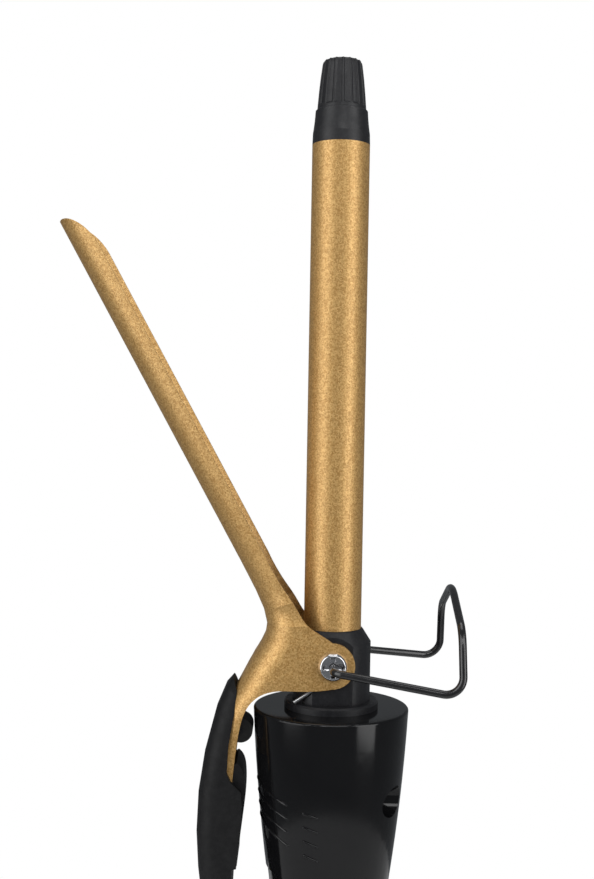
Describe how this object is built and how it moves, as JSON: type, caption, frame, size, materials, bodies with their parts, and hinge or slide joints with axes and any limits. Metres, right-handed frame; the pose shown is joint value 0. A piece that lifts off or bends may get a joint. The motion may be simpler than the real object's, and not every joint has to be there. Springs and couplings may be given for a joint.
{
  "type": "curling iron",
  "caption": "Spring-clamp hair curling iron: slim metal barrel, pressed clamp with thumb grip, wire stand, tapered handle, rocker switch, heat dial and swivelling cord outlet.",
  "frame": {"origin": "on the handle's axis in the middle of the grip, 75 mm below the clamp's pivot", "axes": "+Z along the barrel to its tip, clamp opens towards -X, wire stand on the +X side, pivot axis along Y"},
  "size_m": [0.1111, 0.0542, 0.325],
  "materials": {
    "gold_enamel": "metallic flake, satin",
    "black_gloss": "polished",
    "black_satin": "satin",
    "black_grip": "matte, fine texture",
    "rocker_plastic": "semi-gloss",
    "black_rubber": "matte",
    "black_coated_wire": "semi-gloss coating",
    "chrome_screw": "plated",
    "steel": "bright",
    "aluminium": "extruded",
    "heater_ceramic": "unglazed",
    "amber_film": "film",
    "glass_sleeve": "woven sleeve",
    "red_lens": "translucent",
    "board_green": "solder mask",
    "pot_blue": "moulded",
    "contact_brass": "bright"
  },
  "bodies": {
    "handle": {"barrel_tube": "gold_enamel", "tip_collar": "black_satin", "cool_tip": "black_satin", "heat_spreader_front": "aluminium", "heat_spreader_back": "aluminium", "ptc_heater": "heater_ceramic", "insulation_film": "amber_film", "heater_leads": "glass_sleeve", "thermal_fuse": "glass_sleeve", "neck": "black_satin", "pivot_screws": "chrome_screw", "torsion_spring": "steel", "handle_shell_left": "black_gloss", "handle_shell_right": "black_gloss", "handle_screws": "steel", "switch_plate": "black_satin", "switch_body": "black_satin", "light_lens": "red_lens", "indicator_led": "red_lens", "circuit_board": "board_green", "potentiometer": "pot_blue", "end_cap": "black_gloss", "swivel_socket": "black_satin", "swivel_rings": "contact_brass"},
    "clamp": {"clamp_blade": "gold_enamel", "thumb_grip": "black_grip", "grip_insert": "black_grip", "grip_rivets": "steel", "stop_bumper": "black_rubber", "bumper_pin": "steel"},
    "stand": {"stand_wire": "black_coated_wire"},
    "rocker": {"switch_rocker": "rocker_plastic"},
    "dial": {"temperature_dial": "black_satin", "potentiometer_shaft": "steel"},
    "outlet": {"cord_swivel": "black_rubber", "swivel_contact": "contact_brass"}
  },
  "joints": [
    {"name": "clamp_pivot", "type": "hinge", "parent": "handle", "child": "clamp", "pos_m": [0, 0, 0.075], "axis": [0, 1, 0], "range_deg": [0, 29], "stiffness_Nm_per_rad": 0.25, "springref_deg": 60.16, "deforming": ["torsion_spring"]},
    {"name": "stand_pivot", "type": "hinge", "parent": "handle", "child": "stand", "pos_m": [0, 0, 0.075], "axis": [0, 1, 0], "range_deg": [-42, 56]},
    {"name": "switch_tilt", "type": "hinge", "parent": "handle", "child": "rocker", "pos_m": [-0.0144, 0, -0.0115], "axis": [0, 1, 0], "range_deg": [-12, 0]},
    {"name": "dial_turn", "type": "hinge", "parent": "handle", "child": "dial", "pos_m": [-0.017, 0, -0.033], "axis": [1, 0, 0], "range_deg": [0, 270]},
    {"name": "outlet_swivel", "type": "hinge", "parent": "handle", "child": "outlet", "pos_m": [0, 0, -0.065], "axis": [0, 0, 1], "continuous": true}
  ]
}
